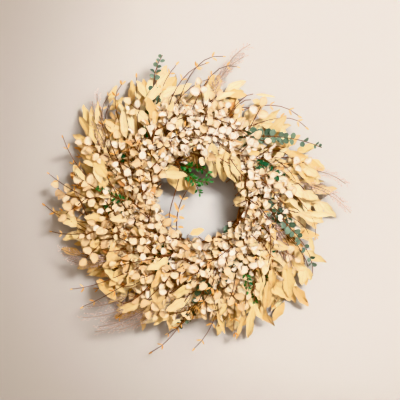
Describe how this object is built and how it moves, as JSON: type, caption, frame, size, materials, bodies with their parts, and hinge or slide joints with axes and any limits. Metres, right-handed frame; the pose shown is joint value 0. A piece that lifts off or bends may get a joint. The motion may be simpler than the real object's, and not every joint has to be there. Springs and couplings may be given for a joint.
{
  "type": "eucalyptus wreath",
  "caption": "Round wreath of dried eucalyptus sprays, gold lance leaves, plumes and twigs swept clockwise round a ring of wound vines, lying on its back.",
  "frame": {"origin": "centre of the wreath on the surface it lies on, which is the centre of the vine ring at the ties' level lower sides", "axes": "+Z out of the wreath's front, +Y to its top as hung, +X to its right as seen from the front"},
  "size_m": [0.6891, 0.689, 0.1171],
  "materials": {
    "vine_bark": "matte",
    "tie_band": "matte",
    "gold_leaf": "matte",
    "cream_leaf": "matte",
    "green_leaf": "matte",
    "sprig_leaf": "matte",
    "twig": "matte",
    "plume": "matte"
  },
  "bodies": {
    "root": {"vine_1": "vine_bark", "vine_2": "vine_bark", "vine_3": "vine_bark", "vine_4": "vine_bark", "vine_5": "vine_bark", "ring_tie_1": "tie_band", "ring_tie_2": "tie_band", "ring_tie_3": "tie_band", "gold_spray_left_high": "gold_leaf", "gold_spray_upper_left": "gold_leaf", "gold_spray_top_left": "gold_leaf", "gold_spray_top": "gold_leaf", "gold_spray_top_right": "gold_leaf", "gold_spray_right_high": "gold_leaf", "gold_spray_right": "gold_leaf", "gold_spray_right_low": "gold_leaf", "gold_spray_lower_right": "gold_leaf", "gold_spray_bottom_right": "gold_leaf", "gold_spray_bottom": "gold_leaf", "gold_spray_bottom_left": "gold_leaf", "gold_spray_lower_left": "gold_leaf", "gold_spray_left_low": "gold_leaf", "gold_spray_left": "gold_leaf", "gold_spray_left_mid": "gold_leaf", "gold_spray_hole_right": "gold_leaf", "gold_spray_hole_left": "gold_leaf", "cream_spray_left": "cream_leaf", "cream_spray_left_high": "cream_leaf", "cream_spray_top_left": "cream_leaf", "cream_spray_top": "cream_leaf", "cream_spray_top_right": "cream_leaf", "cream_spray_right": "cream_leaf", "cream_spray_lower_right": "cream_leaf", "cream_spray_bottom": "cream_leaf", "cream_spray_lower_left": "cream_leaf", "cream_spray_left_low": "cream_leaf", "cream_spray_inner_top": "cream_leaf", "cream_spray_inner_right": "cream_leaf", "cream_spray_inner_bottom": "cream_leaf", "cream_spray_inner_left": "cream_leaf", "cream_spray_inner_upper_left": "cream_leaf", "green_spray_top": "green_leaf", "green_spray_right_high": "green_leaf", "green_spray_right_low": "green_leaf", "green_spray_bottom": "green_leaf", "sprig_hole": "sprig_leaf", "sprig_left": "sprig_leaf", "sprig_lower_right": "sprig_leaf", "twig_far_left": "twig", "twig_left": "twig", "twig_top_left": "twig", "twig_top": "twig", "twig_right_high": "twig", "twig_bottom": "twig", "twig_hole": "twig", "plume_top_left": "plume", "plume_top_right": "plume", "plume_right": "plume", "plume_lower_left": "plume", "plume_left": "plume"}
  },
  "joints": []
}
